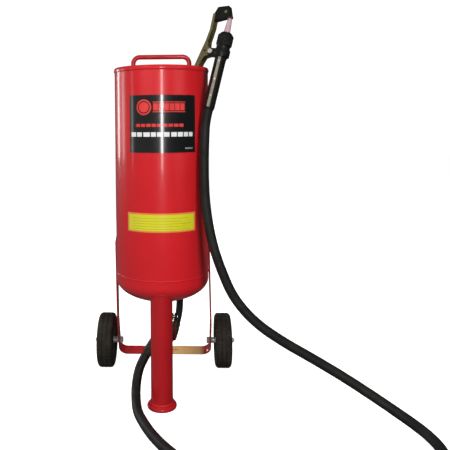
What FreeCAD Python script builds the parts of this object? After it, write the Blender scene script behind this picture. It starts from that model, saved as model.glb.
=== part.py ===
import FreeCAD, Part
import math
import os

# Pressure-pot abrasive blaster: a red pot on one front leg and two wheels, with its
# blast gun hung over the rim. Millimetres, +Z up, front (leg and labels) towards -Y.
# Everything is modelled about the tank's axis; save() moves it so that the origin is
# at the middle of the footprint, on the floor.

# ---- driving dimensions ---------------------------------------------------------
TANK_R = 140.0
WALL = 4.0
RIM_Z = 985.0
SEAM_Z = 355.0
BOTTOM_DEPTH = 66.0
DISH_Z = 948.0
DISH_DEPTH = 58.0
LEG_Y = -103.0
LEG_R = 32.0
FOOT_R = 43.0
TYRE_R = 89.0
TYRE_W = 54.0
WHEEL_X = 195.5
AXLE_Y = 175.0
AXLE_Z = 89.0
AXLE_R = 6.0
BOLT_HEAD = 10.0
LOCK_NUT = 12.0
BAR_T = 5.0
BAR_W = 35.0
FOOT_H = 17.0
RIM_H = 14.0
HANDLE_X = 84.0
HANDLE_R = 7.0
HANDLE_Z = 1021.0
NECK_R = 25.0
PLUNGER_DROP = 12.0
MANIFOLD_Y = 180.0
MANIFOLD_Z = 760.0
TEE_Z = 158.0
VALVE_Z = 230.0
HOSE_R = 13.75
AIR_HOSE_R = 11.0
RUN_GAP = 0.05
FACE_GAP = 0.3

V = FreeCAD.Vector
X = V(1, 0, 0)
Y = V(0, 1, 0)
Z = V(0, 0, 1)
HEAD_Z = SEAM_Z - BOTTOM_DEPTH
TANK_Y = -(AXLE_Y + TYRE_R + LEG_Y - FOOT_R) / 2

os.makedirs("parts", exist_ok=True)


# ---- helpers --------------------------------------------------------------------
def save(name, *shapes):
    """Write one node, moved from the tank's axis to the part's origin."""
    shape = shapes[0] if len(shapes) == 1 else Part.makeCompound(list(shapes))
    shape.translated(V(0, TANK_Y, 0)).exportStep("parts/" + name + ".step")


def rod(start, end, radius):
    return Part.makeCylinder(radius, (end - start).Length, start, end - start)


def pipe(start, end, outer, inner):
    return rod(start, end, outer).cut(rod(start, end, inner))


def lathe(profile, base=V(0, 0, 0), axis=Z):
    """Turn a closed (radius, height) outline about an axis through base."""
    outline = Part.makePolygon([V(r, 0, h) for r, h in profile + profile[:1]])
    solid = Part.Face(outline).revolve(V(0, 0, 0), Z, 360)
    solid.Placement = FreeCAD.Placement(base, FreeCAD.Rotation(Z, axis))
    return solid


def prism(outline, direction):
    """Extrude a closed polygon of points."""
    return Part.Face(Part.makePolygon(outline + outline[:1])).extrude(direction)


def hexagon(start, end, across_flats):
    """A hexagonal prism between two points."""
    axis = end - start
    corner = across_flats / math.sqrt(3)
    turn = FreeCAD.Rotation(Z, axis)
    points = []
    for k in range(6):
        angle = math.radians(60 * k)
        points.append(start + turn.multVec(V(corner * math.cos(angle), corner * math.sin(angle), 0)))
    return prism(points, axis)


def block(low, high):
    size = high - low
    return Part.makeBox(size.x, size.y, size.z, low)


def mirrored(shape):
    return shape.mirror(V(0, 0, 0), X)


def rounded_path(points):
    """Straight runs joined by tangent arcs, each as large as its two runs allow."""
    edges = []
    radii = []
    last = points[0]
    for before, corner, after in zip(points, points[1:], points[2:]):
        arrive = (corner - before).normalize()
        leave = (after - corner).normalize()
        half_turn = arrive.getAngle(leave) / 2
        setback = 0.45 * min((corner - before).Length, (after - corner).Length)
        radius = setback / math.tan(half_turn)
        radii.append(radius)
        start = corner - arrive * setback
        end = corner + leave * setback
        inward = (leave - arrive).normalize()
        middle = corner + inward * (radius / math.cos(half_turn) - radius)
        edges.append(Part.LineSegment(last, start).toShape())
        edges.append(Part.Arc(start, middle, end).toShape())
        last = end
    edges.append(Part.LineSegment(last, points[-1]).toShape())
    return Part.Wire(edges), radii


def tube_along(points, radius, label):
    """A round tube along a route; prints its length, radii and volume ratio."""
    wire, radii = rounded_path(points)
    section = Part.Wire([Part.makeCircle(radius, points[0], points[1] - points[0])])
    solid = wire.makePipeShell([section], True, False)
    ratio = solid.Volume / (math.pi * radius ** 2 * wire.Length)
    print(label, "length", round(wire.Length), "tightest", round(min(radii)),
          "radii", [round(r) for r in radii], "volume ratio", round(ratio, 4))
    return solid


# ---- pressure vessel ------------------------------------------------------------
def ellipsoid_cup(radius, depth, wall, centre_z):
    """Lower half of a hollow ellipsoid, open upwards."""
    def half(r, d):
        ball = Part.makeSphere(1.0, V(0, 0, 0), Z, -90, 0)
        scale = FreeCAD.Matrix()
        scale.scale(r, r, d)
        return ball.transformGeometry(scale).translated(V(0, 0, centre_z))
    return half(radius, depth), half(radius - wall, depth - wall)


BOTTOM_SOLID, BOTTOM_INSIDE = ellipsoid_cup(TANK_R, BOTTOM_DEPTH, WALL, SEAM_Z)
DISH_R = TANK_R - WALL
DISH_SOLID, DISH_INSIDE = ellipsoid_cup(DISH_R, DISH_DEPTH, WALL, DISH_Z)
DISH_LOW = DISH_Z - DISH_DEPTH
OUTLET_R = 20.0
BUNG_R = 16.0
NECK_OUTER = NECK_R + 7


def make_vessel():
    rim_low = RIM_Z - RIM_H
    bung_hole = rod(V(0, DISH_R - 10, MANIFOLD_Z), V(0, TANK_R + 10, MANIFOLD_Z), BUNG_R)
    save("tank_shell", pipe(V(0, 0, SEAM_Z), V(0, 0, rim_low), TANK_R, DISH_R).cut(bung_hole))
    lip = 3.0
    save("rim_ring", lathe([(DISH_R - 1, rim_low), (TANK_R + 1, rim_low), (TANK_R + 1, RIM_Z - lip),
                            (TANK_R - 1, RIM_Z), (DISH_R + 1, RIM_Z), (DISH_R - 1, RIM_Z - lip)]))
    outlet_hole = rod(V(0, 0, HEAD_Z - 20), V(0, 0, SEAM_Z), OUTLET_R)
    save("bottom_head", BOTTOM_SOLID.cut(BOTTOM_INSIDE).cut(outlet_hole))
    dish = DISH_SOLID.cut(DISH_INSIDE)
    flange = pipe(V(0, 0, DISH_Z), V(0, 0, DISH_Z + 14), DISH_R, DISH_R - WALL)
    neck_hole = rod(V(0, 0, DISH_LOW - 20), V(0, 0, DISH_Z), NECK_OUTER)
    save("top_head", dish.fuse(flange).removeSplitter().cut(neck_hole))


def make_filler():
    neck_low = DISH_LOW - 10
    save("fill_neck", pipe(V(0, 0, neck_low), V(0, 0, DISH_LOW + 10), NECK_OUTER, NECK_R))
    gasket_low = neck_low - 4
    save("filler_gasket", pipe(V(0, 0, gasket_low), V(0, 0, neck_low), NECK_OUTER - 1, NECK_R))
    disc_top = gasket_low - PLUNGER_DROP
    stem_r = 8.0 - RUN_GAP
    save("pop_up_plunger", lathe([(0, disc_top - 92), (stem_r, disc_top - 92), (stem_r, disc_top - 8),
                                  (29, disc_top - 8), (29, disc_top), (23, disc_top), (6, disc_top + 13),
                                  (0, disc_top + 13)]))
    corner = V(0, 0, MANIFOLD_Z)
    top = V(0, 0, disc_top - 20)
    back = V(0, TANK_R + 4, MANIFOLD_Z)
    outside = rod(corner, top, 10.65).fuse(rod(corner, back, 10.65)).fuse(Part.makeSphere(10.65, corner))
    inside = rod(corner, top, 8.0).fuse(rod(corner, back, 8.0)).fuse(Part.makeSphere(8.0, corner))
    save("stem_guide_pipe", outside.removeSplitter().cut(inside))


def make_handle():
    foot = DISH_Z - DISH_DEPTH
    corner_r = 20.0
    side = HANDLE_X
    top = HANDLE_Z
    low = top - corner_r
    bend = corner_r * (1 - math.sqrt(0.5))
    edges = [Part.LineSegment(V(-side, 0, foot), V(-side, 0, low)),
             Part.Arc(V(-side, 0, low), V(-side + bend, 0, top - bend), V(-side + corner_r, 0, top)),
             Part.LineSegment(V(-side + corner_r, 0, top), V(side - corner_r, 0, top)),
             Part.Arc(V(side - corner_r, 0, top), V(side - bend, 0, top - bend), V(side, 0, low)),
             Part.LineSegment(V(side, 0, low), V(side, 0, foot))]
    path = Part.Wire([edge.toShape() for edge in edges])
    section = Part.Wire([Part.makeCircle(HANDLE_R, V(-side, 0, foot), Z)])
    bar = path.makePipeShell([section], True, False)
    under_dish = rod(V(0, 0, foot - 20), V(0, 0, DISH_Z), DISH_R).cut(DISH_INSIDE)
    save("top_handle", bar.cut(under_dish))


def make_leg():
    centre = V(0, LEG_Y, 0)
    column = pipe(V(0, LEG_Y, FOOT_H), V(0, LEG_Y, SEAM_Z - 4), LEG_R, LEG_R - 3)
    keep_out = BOTTOM_SOLID.fuse(rod(V(0, 0, SEAM_Z - 10), V(0, 0, SEAM_Z + 50), TANK_R))
    column = column.cut(keep_out)
    column = max(column.Solids, key=lambda solid: solid.Volume)
    save("front_leg", column)
    save("leg_foot", lathe([(0, 0), (FOOT_R - 2, 0), (FOOT_R, 2), (FOOT_R, 8), (FOOT_R - 2, 11),
                            (LEG_R, FOOT_H), (0, FOOT_H)], centre))


def make_labels():
    front = FreeCAD.Rotation(Z, -90)
    for name, left, right, low, high in (("label_black", -37.5, 44.5, 740.0, 901.0),
                                         ("label_yellow", -42.0, 44.0, 516.0, 570.0)):
        band = Part.makeCylinder(TANK_R + 0.5, high - low, V(0, 0, low), Z, right - left)
        band = band.cut(Part.makeCylinder(TANK_R, high - low, V(0, 0, low)))
        band.Placement = FreeCAD.Placement(V(0, 0, 0), FreeCAD.Rotation(Z, left)).multiply(
            FreeCAD.Placement(V(0, 0, 0), front))
        save(name, band)


# ---- wheel frame and wheels -----------------------------------------------------
STRAP_TOP = V(0, 8, 470)
AXLE = V(0, AXLE_Y, AXLE_Z)
DOWN = (AXLE - STRAP_TOP).normalize()
AXLE_REACH = (AXLE - STRAP_TOP).Length
STRAP_OUT = 156.5
HUB_IN = WHEEL_X - 21
HUB_OUT = WHEEL_X + 21


def make_frame():
    """A flat bar bent to a U: its two ends are welded to the tank's sides."""
    length = AXLE_REACH + 50
    bend_at = AXLE_REACH - 85
    across = DOWN.cross(X)
    start = STRAP_TOP - across * (BAR_W / 2)

    def at(x, s):
        return start + X * x + DOWN * s

    def half_outline(inset, sign):
        corner_r = 30.0 - inset
        low = length - inset
        side = STRAP_OUT - inset
        bend = corner_r * (1 - math.sqrt(0.5))
        points = [at(sign * (144.0 - inset), 0), at(sign * side, bend_at), at(sign * side, low - corner_r)]
        arc = [points[2], at(sign * (side - bend), low - bend), at(sign * (side - corner_r), low)]
        return points, arc

    edges = []
    for inset in (0.0, BAR_T):
        right, right_arc = half_outline(inset, 1)
        left, left_arc = half_outline(inset, -1)
        edges += [Part.LineSegment(right[0], right[1]), Part.LineSegment(right[1], right[2]),
                  Part.Arc(*right_arc), Part.LineSegment(right_arc[2], left_arc[2]), Part.Arc(*left_arc),
                  Part.LineSegment(left[2], left[1]), Part.LineSegment(left[1], left[0])]
    for sign in (1, -1):
        edges.append(Part.LineSegment(at(sign * 144.0, 0), at(sign * (144.0 - BAR_T), 0)))
    wires = Part.sortEdges([edge.toShape() for edge in edges])
    bar = Part.Face(Part.Wire(wires[0])).extrude(across * BAR_W)
    tank = rod(V(0, 0, SEAM_Z - 100), V(0, 0, 600), TANK_R)
    bolt_hole = rod(AXLE - X * 200, AXLE + X * 200, AXLE_R)
    save("wheel_frame", bar.cut(tank).cut(bolt_hole))


def along_axle(a, b, radius):
    return rod(AXLE + X * a, AXLE + X * b, radius)


def make_axles():
    strap_in = STRAP_OUT - BAR_T
    washer_out = HUB_OUT + 3
    nut_out = washer_out + LOCK_NUT
    bolt = hexagon(AXLE + X * (strap_in - BOLT_HEAD), AXLE + X * strap_in, 19)
    bolt = bolt.fuse(along_axle(strap_in, nut_out + 4, AXLE_R))
    save("axle_bolts", bolt, mirrored(bolt))
    spacer = along_axle(STRAP_OUT, HUB_IN - FACE_GAP, 9.5).cut(along_axle(STRAP_OUT, HUB_IN, AXLE_R))
    save("axle_spacers", spacer, mirrored(spacer))
    washer = along_axle(HUB_OUT + FACE_GAP, washer_out, 13).cut(along_axle(HUB_OUT, washer_out, AXLE_R))
    save("axle_washers", washer, mirrored(washer))
    nut = hexagon(AXLE + X * washer_out, AXLE + X * nut_out, 19).cut(along_axle(washer_out, nut_out, AXLE_R))
    save("axle_lock_nuts", nut, mirrored(nut))


def make_wheels():
    half = TYRE_W / 2
    centre = AXLE + X * WHEEL_X
    seat = 52.0
    tyre = lathe([(seat, -half + 5), (seat + 10, -half), (TYRE_R - 14, -half), (TYRE_R - 5, -half + 4),
                  (TYRE_R, -half + 11), (TYRE_R, half - 11), (TYRE_R - 5, half - 4), (TYRE_R - 14, half),
                  (seat + 10, half), (seat, half - 5)], centre, X)
    hub = lathe([(9, -21), (17, -21), (19, -8), (44, -6), (46, -20), (seat, -20), (seat, 20), (46, 20),
                 (44, 6), (19, 8), (17, 21), (9, 21)], centre, X)
    bush = along_axle(HUB_IN, HUB_OUT, 9).cut(along_axle(HUB_IN, HUB_OUT, AXLE_R + RUN_GAP))
    for side, flip in (("right", False), ("left", True)):
        for name, shape in (("tyre", tyre), ("hub", hub), ("bush", bush)):
            save(side + "_" + name, mirrored(shape) if flip else shape)


# ---- sand outlet, valve and mixing tee ------------------------------------------
PIPE_R = 16.7
PIPE_BORE = 13.0
BALL_R = 19.0
VALVE_HALF = 26.0
STEM_R = 5.0
TEE_CENTRE = V(0, 0, TEE_Z)
TEE_ARM = 24.0
TEE_TOP = TEE_Z + 32
TEE_RUN = V(-0.75, -0.66, 0).normalize()
OUTLET_CORNER = TEE_CENTRE + TEE_RUN * 36
HOSE_DIRECTION = V(-0.54, -0.27, -0.797).normalize()
HOSE_START = OUTLET_CORNER + HOSE_DIRECTION * 38
AIR_CORNER = TEE_CENTRE - TEE_RUN * 38
AIR_DIRECTION = V(0.3, 0.3, 0.9).normalize()
AIR_END = AIR_CORNER + AIR_DIRECTION * 44


def make_outlet():
    coupling_low = HEAD_Z - 21
    coupling = rod(V(0, 0, coupling_low), V(0, 0, HEAD_Z + 8), OUTLET_R)
    coupling = coupling.cut(rod(V(0, 0, coupling_low), V(0, 0, coupling_low + 8), PIPE_R))
    save("outlet_coupling", coupling.cut(rod(V(0, 0, coupling_low), V(0, 0, HEAD_Z + 8), PIPE_BORE)))
    body_high = VALVE_Z + VALVE_HALF
    body_low = VALVE_Z - VALVE_HALF
    save("pipe_nipples", pipe(V(0, 0, body_high - 6), V(0, 0, coupling_low + 8), PIPE_R, PIPE_BORE),
         pipe(V(0, 0, TEE_TOP - 6), V(0, 0, body_low + 6), PIPE_R, PIPE_BORE))
    body = hexagon(V(0, 0, body_high - 14), V(0, 0, body_high), 42).fuse(
        hexagon(V(0, 0, body_low), V(0, 0, body_low + 14), 42))
    body = body.fuse(rod(V(0, 0, body_low + 10), V(0, 0, body_high - 10), 24))
    body = body.fuse(rod(V(0, 0, VALVE_Z), V(33, 0, VALVE_Z), 10)).removeSplitter()
    for low, high, radius in ((body_low, body_high, PIPE_BORE), (body_low, body_low + 6, PIPE_R),
                              (body_high - 6, body_high, PIPE_R)):
        body = body.cut(rod(V(0, 0, low), V(0, 0, high), radius))
    body = body.cut(Part.makeSphere(BALL_R + FACE_GAP, V(0, 0, VALVE_Z)))
    save("sand_valve_body", body.cut(rod(V(0, 0, VALVE_Z), V(40, 0, VALVE_Z), STEM_R + RUN_GAP)))


def make_sand_valve_trim():
    """Ball, handle and nut of the sand valve, drawn open: the bore upright, the handle down."""
    centre = V(0, 0, VALVE_Z)
    ball = Part.makeSphere(BALL_R, centre).fuse(rod(centre, centre + X * 46, STEM_R)).removeSplitter()
    save("sand_valve_ball", ball.cut(rod(centre - Z * 30, centre + Z * 30, 12)))
    save("sand_valve_handle", valve_lever(centre + X * 36, -Z, X, 66, 7, STEM_R))
    nut = hexagon(centre + X * 39, centre + X * 44, 14)
    save("sand_valve_nut", nut.cut(rod(centre + X * 39, centre + X * 44, STEM_R)))


def valve_lever(base, reach, up, length, half_width, hole_r):
    """A flat valve lever, 3 mm thick, with a round boss at the stem and a round tip."""
    side = up.cross(reach)
    lever = Part.makeCylinder(half_width + 3, 3, base, up)
    tip = base + reach * length
    lever = lever.fuse(Part.makeCylinder(half_width, 3, tip, up))
    outline = [base + side * half_width, tip + side * half_width, tip - side * half_width,
               base - side * half_width]
    lever = lever.fuse(prism(outline, up * 3)).removeSplitter()
    return lever.cut(Part.makeCylinder(hole_r, 3, base, up))


def make_mixing_tee():
    top = V(0, 0, TEE_TOP)
    arm = TEE_RUN * TEE_ARM
    out_end = TEE_CENTRE + arm
    air_end = TEE_CENTRE - arm
    tee = rod(air_end, out_end, 18).fuse(rod(TEE_CENTRE, top, 17.6))
    for end, inner in ((out_end, out_end - arm * 0.35), (air_end, air_end + arm * 0.35),
                       (top, top - Z * 10)):
        tee = tee.fuse(rod(inner, end, 20.5))
    tee = tee.cut(rod(air_end, out_end, PIPE_BORE)).cut(rod(TEE_CENTRE, top, PIPE_BORE - 0.4))
    save("mixing_tee", tee.cut(rod(V(0, 0, TEE_TOP - 6), top, PIPE_R)))
    throat = OUTLET_CORNER + HOSE_DIRECTION * 24
    elbow = bent_fitting(out_end, OUTLET_CORNER, throat, 15.5, PIPE_BORE)
    save("outlet_elbow", elbow.cut(rod(TEE_CENTRE, out_end, 30)))
    save("sand_hose_coupling", pipe(throat, HOSE_START, 16.5, 10))
    air_throat = AIR_CORNER + AIR_DIRECTION * 20
    air_elbow = bent_fitting(air_end, AIR_CORNER, air_throat, 14, 8)
    save("air_inlet_elbow", air_elbow.cut(rod(TEE_CENTRE, air_end, 30)))


def bent_fitting(start, corner, end, outer, bore):
    body = rod(start, corner, outer).fuse(rod(corner, end, outer)).fuse(Part.makeSphere(outer, corner))
    inside = rod(start, corner, bore).fuse(rod(corner, end, bore)).fuse(Part.makeSphere(bore, corner))
    return body.removeSplitter().cut(inside)


# ---- air manifold behind the tank -----------------------------------------------
MANIFOLD = V(0, MANIFOLD_Y, MANIFOLD_Z)
ARM = 30.0


def make_manifold():
    save("rear_bung", pipe(V(0, DISH_R - 2, MANIFOLD_Z), V(0, MANIFOLD_Y - 20, MANIFOLD_Z), BUNG_R, 10.65))
    cross = rod(MANIFOLD - X * ARM, MANIFOLD + X * ARM, 14)
    cross = cross.fuse(rod(MANIFOLD - Z * ARM, MANIFOLD + Z * ARM, 14))
    cross = cross.fuse(rod(MANIFOLD - Y * 20, MANIFOLD, 14)).removeSplitter()
    for axis, back in ((X, ARM), (Z, ARM), (Y, 20)):
        cross = cross.cut(rod(MANIFOLD - axis * back, MANIFOLD + axis * (0 if axis == Y else ARM), 8))
    save("air_cross", cross)
    fitting_low = MANIFOLD - Z * (ARM + 26)
    fitting = hexagon(MANIFOLD - Z * (ARM + 10), MANIFOLD - Z * ARM, 24).fuse(
        rod(fitting_low, MANIFOLD - Z * (ARM + 10), 13))
    lower = AIR_CORNER + AIR_DIRECTION * 20
    collar = AIR_CORNER + AIR_DIRECTION * 28
    lower_fitting = hexagon(lower, collar, 24).fuse(rod(collar, AIR_END, 13))
    save("air_hose_fittings", fitting.removeSplitter().cut(rod(fitting_low, MANIFOLD, 6)),
         lower_fitting.removeSplitter().cut(rod(lower, AIR_END, 6)))


def make_air_valve():
    start = MANIFOLD + X * ARM
    centre = start + X * 27
    end = start + X * 54
    body = hexagon(start, start + X * 12, 27).fuse(hexagon(end - X * 12, end, 27))
    body = body.fuse(rod(start + X * 6, end - X * 6, 15)).fuse(rod(centre, centre + Z * 24, 7))
    body = body.removeSplitter().cut(rod(start, end, 8)).cut(Part.makeSphere(12 + FACE_GAP, centre))
    save("air_valve_body", body.cut(rod(centre, centre + Z * 30, 4 + RUN_GAP)))
    ball = Part.makeSphere(12, centre).fuse(rod(centre, centre + Z * 35, 4)).removeSplitter()
    save("air_valve_ball", ball.cut(rod(centre - Y * 20, centre + Y * 20, 7)))
    save("air_valve_handle", valve_lever(centre + Z * 26, Y, Z, 58, 7, 4))
    plug_base = end + X * 22
    plug = hexagon(end, end + X * 10, 20).fuse(rod(end + X * 10, plug_base, 7.5))
    plug = plug.fuse(rod(plug_base, plug_base + X * 16, 5.9)).removeSplitter()
    save("inlet_plug", plug.cut(rod(end, plug_base + X * 16, 3.6)))


GAUGE_R = 27.0
GAUGE_Z = MANIFOLD_Z + 82
GAUGE_BACK = MANIFOLD_Y - 14
GAUGE_FACE = MANIFOLD_Y + 12


def make_gauge():
    centre_back = V(0, GAUGE_BACK, GAUGE_Z)
    centre_face = V(0, GAUGE_FACE, GAUGE_Z)
    case = rod(centre_back, centre_face, GAUGE_R).cut(rod(centre_back + Y * 12, centre_face, GAUGE_R - 2))
    case = case.fuse(rod(V(0, MANIFOLD_Y, MANIFOLD_Z + ARM), V(0, MANIFOLD_Y, GAUGE_Z - GAUGE_R + 4), 7))
    case = case.cut(rod(centre_back + Y * 12, centre_face, GAUGE_R - 2)).removeSplitter()
    save("gauge_case", case)
    dial_face = centre_back + Y * 14
    dial = rod(centre_back + Y * 12, dial_face, GAUGE_R - 2)
    save("gauge_dial", dial.cut(rod(centre_back + Y * 12, dial_face, 1.6)))
    pivot = dial_face + Y * 1
    outline = [(-1.3, 2), (1.3, 2), (0.4, -19), (-0.4, -19)]
    needle = prism([pivot + V(x, 0, z) for x, z in outline], Y * 1)
    needle = needle.fuse(rod(pivot, pivot + Y * 1, 3)).fuse(rod(centre_back + Y * 12.5, pivot, 1.5))
    turn = FreeCAD.Placement(V(0, 0, 0), FreeCAD.Rotation(Y, -45), pivot)
    save("gauge_needle", needle.removeSplitter().transformGeometry(turn.toMatrix()))
    save("gauge_lens", rod(centre_face - Y * 3, centre_face - Y * 1, GAUGE_R - 2))


def make_relief_valve():
    start = MANIFOLD - X * ARM
    end = start - X * 40
    body = hexagon(start, start - X * 12, 19).fuse(rod(start - X * 12, end, 8)).removeSplitter()
    save("relief_valve_body", body.cut(rod(start, end, 3 + RUN_GAP)))
    ring_centre = end - X * 16
    ring = Part.makeTorus(9, 1.5, ring_centre, Y)
    save("relief_ring", ring.fuse(rod(start - X * 14, end - X * 7, 3)))


AIR_ROUTE = [V(0, 180, 704), V(0, 180, 668), V(4, 181.5, 622), V(12, 183, 560), V(22, 182, 490),
             V(32, 175, 421), V(42, 158, 361), V(50, 132, 317), V(54, 98, 285), V(52, 68, 256),
             AIR_END + AIR_DIRECTION * 28, AIR_END]

SAND_ROUTE = [HOSE_START + HOSE_DIRECTION * 30, V(-74, -56, 74.4), V(-77.6, -76, 47.5), V(-76.4, -104, 28),
              V(-71, -141, 15.2), V(-62, -178, 14), V(-48, -216, 14), V(-27, -266, 14), V(4, -322, 14),
              V(45, -378, 14), V(96, -430, 14), V(156, -474, 14), V(228, -510, 14), V(308, -534, 14),
              V(400, -544, 14), V(492, -538, 14), V(576, -512, 14), V(644, -466, 14), V(686, -398, 14),
              V(700, -326, 14), V(688, -260, 18), V(644, -208, 37), V(579, -174, 73), V(504, -154, 117),
              V(422, -143, 163), V(341, -136, 207), V(265, -129, 258), V(206, -122, 325), V(175, -117, 395),
              V(152, -112, 460), V(137, -108, 526), V(127, -104, 595), V(124, -101, 660), V(124, -98, 725),
              V(126, -94, 785)]


# ---- blast gun ------------------------------------------------------------------
GUN_BASE = V(136.5, -86, 859)
GUN_UP = V(0.248, 0.10, 1.0).normalize()
GUN_IN = V(-GUN_BASE.x, -GUN_BASE.y, 0).normalize()
GUN_IN = (GUN_IN - GUN_UP * GUN_IN.dot(GUN_UP)).normalize()
GUN_SIDE = GUN_UP.cross(GUN_IN)
GUN_PLACE = FreeCAD.Placement(GUN_BASE, FreeCAD.Rotation(GUN_IN, GUN_SIDE, GUN_UP, "ZXY"))
PIVOT = V(30, 0, 168)
PIVOT_R = 4.0
BODY_R = 16.5
BODY_L = 156.0
HOLDER_R = 20.0
CAP_TOP = 229.0
NOZZLE_TIP = 271.5
LEVER_HALF = 12.0
LEVER_SHEET = 2.5


def gun(shape):
    """Place a piece drawn in the gun's frame: Z along the gun, X towards its lever."""
    moved = shape.copy()
    moved.Placement = GUN_PLACE.multiply(shape.Placement)
    return moved


def make_gun_body():
    bore = rod(V(0, 0, 0), Z * (BODY_L + 50), 6.5)
    save("gun_body", gun(lathe([(0, 0), (14.5, 0), (BODY_R, 3), (BODY_R, BODY_L), (0, BODY_L)]).cut(bore)))
    gasket_low = BODY_L + 39
    flange_low = gasket_low + 3
    flange_top = flange_low + 8
    holder = lathe([(0, BODY_L), (HOLDER_R, BODY_L), (HOLDER_R, BODY_L + 32), (23, BODY_L + 36),
                    (23, CAP_TOP - 10), (14, CAP_TOP), (0, CAP_TOP)])
    holder = holder.cut(bore).cut(rod(Z * gasket_low, Z * flange_top, 14))
    holder = holder.cut(rod(Z * flange_top, Z * CAP_TOP, 10.4))
    save("nozzle_holder", gun(holder))
    save("nozzle_gasket", gun(pipe(Z * gasket_low, Z * flange_low, 14, 6.5)))
    nozzle = lathe([(3.2, flange_low), (14, flange_low), (14, flange_top), (10, flange_top), (10, CAP_TOP),
                    (6.4, NOZZLE_TIP), (3.2, NOZZLE_TIP)])
    save("ceramic_nozzle", gun(nozzle))
    strip = block(V(BODY_R - 1, -4, 8), V(BODY_R + 2, 4, BODY_L - 2))
    strip.Placement = FreeCAD.Placement(V(0, 0, 0), FreeCAD.Rotation(Z, 110))
    save("gun_strip", gun(strip.cut(rod(Z * 0, Z * BODY_L, BODY_R))))


def make_pivot():
    """A band round the holder with two cheeks that carry the lever's bolt."""
    low = PIVOT.z - 10
    high = PIVOT.z + 10
    cheek_in = LEVER_HALF + FACE_GAP
    cheek_out = cheek_in + 3
    bracket = pipe(Z * low, Z * high, HOLDER_R + 3, HOLDER_R)
    for side in (cheek_in, -cheek_out):
        cheek = block(V(10, side, low), V(PIVOT.x + 8, side + 3, high))
        bracket = bracket.fuse(cheek.cut(rod(Z * low, Z * high, HOLDER_R)))
    hole = rod(PIVOT - Y * 20, PIVOT + Y * 20, PIVOT_R)
    save("pivot_bracket", gun(bracket.removeSplitter().cut(hole)))
    bolt = rod(PIVOT - Y * (cheek_out + 1), PIVOT + Y * (cheek_out + 1), PIVOT_R)
    bolt = bolt.fuse(hexagon(PIVOT + Y * cheek_out, PIVOT + Y * (cheek_out + 5), 13))
    bolt = bolt.fuse(hexagon(PIVOT - Y * (cheek_out + 6), PIVOT - Y * cheek_out, 13)).removeSplitter()
    save("lever_pivot_bolt", gun(bolt))
    coils = [Part.makeTorus(5.2, 0.7, PIVOT + Y * y, Y) for y in (-3.3, -1.1, 1.1, 3.3)]
    save("lever_spring", *[gun(coil) for coil in coils])


def side_prism(outline, low, high):
    """Extrude an outline of (x, z) points from one y to another."""
    return prism([V(x, low, z) for x, z in outline], Y * (high - low))


def make_lever():
    """A pressed channel, open towards the gun, with two lugs at its pivot."""
    back = [(84, 91), (73, 131), (64, 170), (57, 198), (52, 232), (53, 282)]
    front = [(46, 282), (44.5, 240), (48.5, 200), (46, 184), (PIVOT.x, PIVOT.z + 7),
             (PIVOT.x - 6, PIVOT.z + 4), (PIVOT.x - 6, PIVOT.z - 5), (PIVOT.x, PIVOT.z - 8),
             (50, 152), (57, 136), (63, 114), (70, 89)]
    channel = side_prism(back + front, -LEVER_HALF, LEVER_HALF)
    inside = [(x - LEVER_SHEET, z) for x, z in back]
    hollow = side_prism([(inside[0][0] + 6, 70)] + inside + [(50.5, 300), (10, 300), (10, 70)],
                        LEVER_SHEET - LEVER_HALF, LEVER_HALF - LEVER_SHEET)
    hole = rod(PIVOT - Y * 20, PIVOT + Y * 20, PIVOT_R + RUN_GAP)
    save("lever", gun(channel.cut(hollow).cut(hole)))
    tip = NOZZLE_TIP + FACE_GAP
    pad_top = tip + 6
    pad_r = 8.0
    width = LEVER_HALF - LEVER_SHEET
    arm = side_prism([(-4, tip + 4), (25, 267.5), (44, 262), (50.0, 262), (50.3, 284), (43, 302), (9, 307)],
                     -width, width)
    save("stopper_arm", gun(arm.cut(rod(Z * 200, Z * pad_top, pad_r))))
    save("stopper_pad", gun(rod(Z * tip, Z * pad_top, pad_r)))


# ---- build ----------------------------------------------------------------------
make_vessel()
make_filler()
make_handle()
make_leg()
make_labels()
make_frame()
make_axles()
make_wheels()
make_outlet()
make_sand_valve_trim()
make_mixing_tee()
make_manifold()
make_air_valve()
make_gauge()
make_relief_valve()
make_gun_body()
make_pivot()
make_lever()
save("air_hose", tube_along(AIR_ROUTE, AIR_HOSE_R, "air_hose"))
hose_end = GUN_BASE - GUN_UP * 34
save("sand_hose", tube_along([HOSE_START] + SAND_ROUTE + [hose_end, GUN_BASE], HOSE_R, "sand_hose"))
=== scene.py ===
import math

import bmesh
import bpy
from mathutils import Matrix, Vector, noise


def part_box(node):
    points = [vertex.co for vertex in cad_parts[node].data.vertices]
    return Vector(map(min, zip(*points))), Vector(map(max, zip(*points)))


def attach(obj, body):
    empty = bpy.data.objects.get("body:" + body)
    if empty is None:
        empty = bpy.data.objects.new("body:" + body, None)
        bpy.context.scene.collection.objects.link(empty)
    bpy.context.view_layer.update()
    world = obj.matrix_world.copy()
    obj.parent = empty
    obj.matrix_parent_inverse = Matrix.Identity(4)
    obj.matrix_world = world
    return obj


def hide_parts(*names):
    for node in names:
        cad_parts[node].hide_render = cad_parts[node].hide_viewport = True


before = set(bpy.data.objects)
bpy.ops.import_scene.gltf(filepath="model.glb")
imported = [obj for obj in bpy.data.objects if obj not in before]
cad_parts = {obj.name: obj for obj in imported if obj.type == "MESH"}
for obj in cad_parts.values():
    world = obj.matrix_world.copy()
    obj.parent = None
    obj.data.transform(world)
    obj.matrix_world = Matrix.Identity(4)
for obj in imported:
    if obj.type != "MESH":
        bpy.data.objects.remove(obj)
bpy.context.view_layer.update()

# ---- driving dimensions ------------------
# Millimetres about the tank's axis, with +Z up and the front (leg, labels) at -Y. The two
# leads, of the tape wound on each hose, are in metres.
MM = 0.001
TANK_LOW, TANK_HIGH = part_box("tank_shell")
TANK_Y = (TANK_LOW.y + TANK_HIGH.y) / 2
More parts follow.
